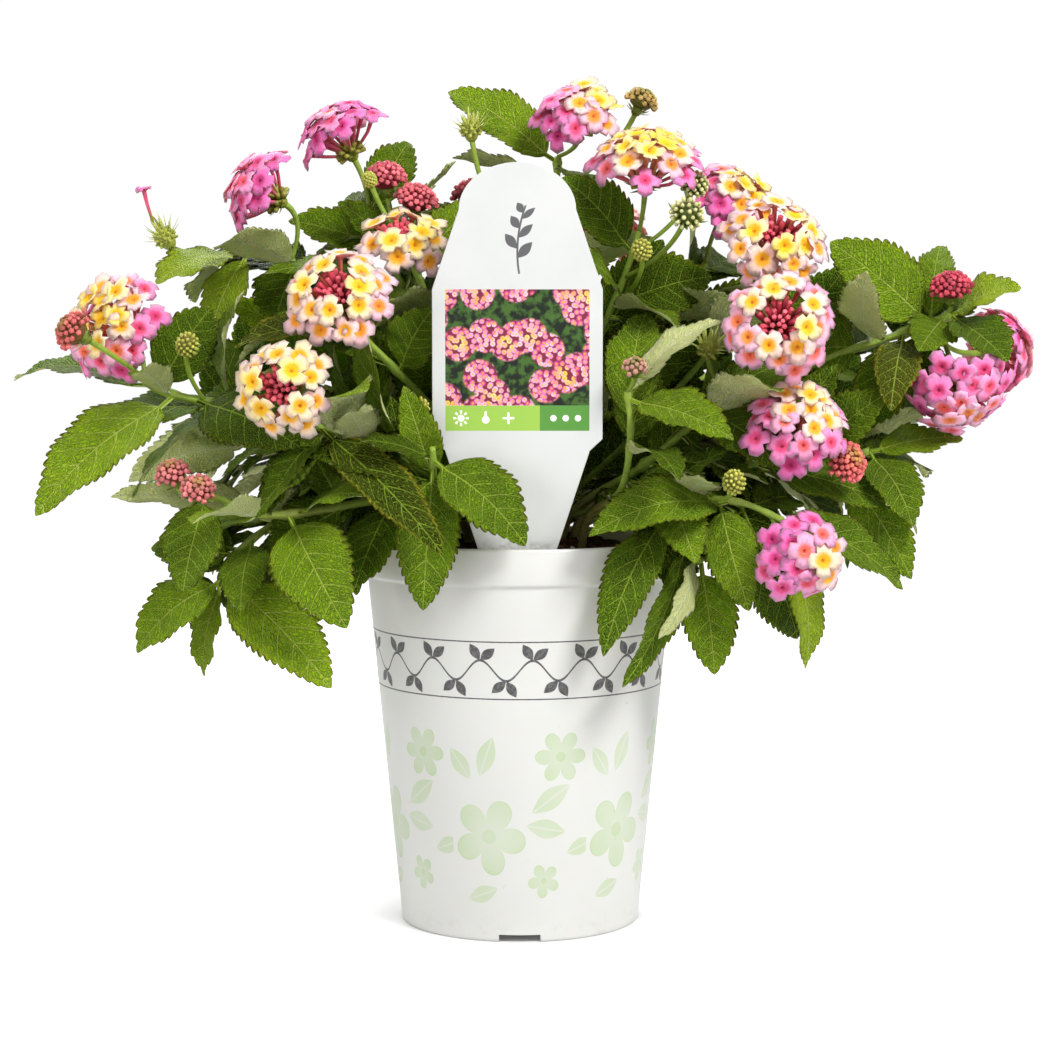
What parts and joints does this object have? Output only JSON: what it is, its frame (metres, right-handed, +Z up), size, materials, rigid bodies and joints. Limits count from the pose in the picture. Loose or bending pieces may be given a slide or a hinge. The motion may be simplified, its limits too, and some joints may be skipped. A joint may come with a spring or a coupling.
{
  "type": "potted lantana",
  "caption": "Young lantana with toothed leaves and pink, peach and yellow flower heads, in a round white nursery pot with a plant tag.",
  "frame": {"origin": "centre of the pot's flat underside, on the surface that the pot stands on", "axes": "+Z up, -Y towards the front that the tag faces, +X to the right when seen from the front"},
  "size_m": [0.3537, 0.1931, 0.2901],
  "materials": {
    "pot": "satin",
    "soil": "matte",
    "tag": "satin",
    "foliage": "satin",
    "florets_pink": "matte",
    "florets_peach": "matte",
    "florets_cream": "matte",
    "buds": "matte"
  },
  "bodies": {
    "root": {"pot": "pot", "soil": "soil", "tag": "tag", "bloom_top_left": "florets_pink", "bloom_upper_left": "florets_pink", "bloom_far_left": "florets_pink", "bloom_far_left_middle": "florets_cream", "bloom_centre_left": "florets_cream", "bloom_centre_left_buds": "buds", "bloom_left": "florets_peach", "bloom_left_buds": "buds", "bloom_lower_left": "florets_cream", "bloom_lower_left_buds": "buds", "bloom_top": "florets_pink", "bloom_top_middle": "florets_cream", "bloom_top_right": "florets_pink", "bloom_top_right_middle": "florets_cream", "bloom_upper_right": "florets_pink", "bloom_upper_right_middle": "florets_cream", "bloom_right": "florets_peach", "bloom_right_buds": "buds", "bloom_middle_right": "florets_peach", "bloom_middle_right_buds": "buds", "bloom_lower_right": "florets_pink", "bloom_lower_right_middle": "florets_cream", "bloom_low_right": "florets_pink", "bloom_far_right": "florets_pink", "bloom_edge_right": "florets_pink", "bloom_behind_top": "florets_peach", "bloom_back_left": "florets_pink", "bloom_back": "florets_peach", "bloom_back_buds": "buds", "bloom_back_right": "florets_pink", "buds_centre_left": "buds", "buds_far_left": "buds", "buds_low_left": "buds", "buds_lower_left": "buds", "buds_top": "buds", "buds_front_right": "buds", "buds_lower_right": "buds", "buds_far_right": "buds", "buds_back": "buds", "buds_upper_left": "buds", "branch_left_outer": "foliage", "branch_left_front": "foliage", "branch_left_middle": "foliage", "branch_left_top": "foliage", "branch_centre_left": "foliage", "branch_centre_top": "foliage", "branch_right_top": "foliage", "branch_right_middle": "foliage", "branch_right_outer": "foliage", "branch_right_front": "foliage", "branch_back_left": "foliage", "branch_back_centre": "foliage", "branch_back_right": "foliage"}
  },
  "joints": []
}
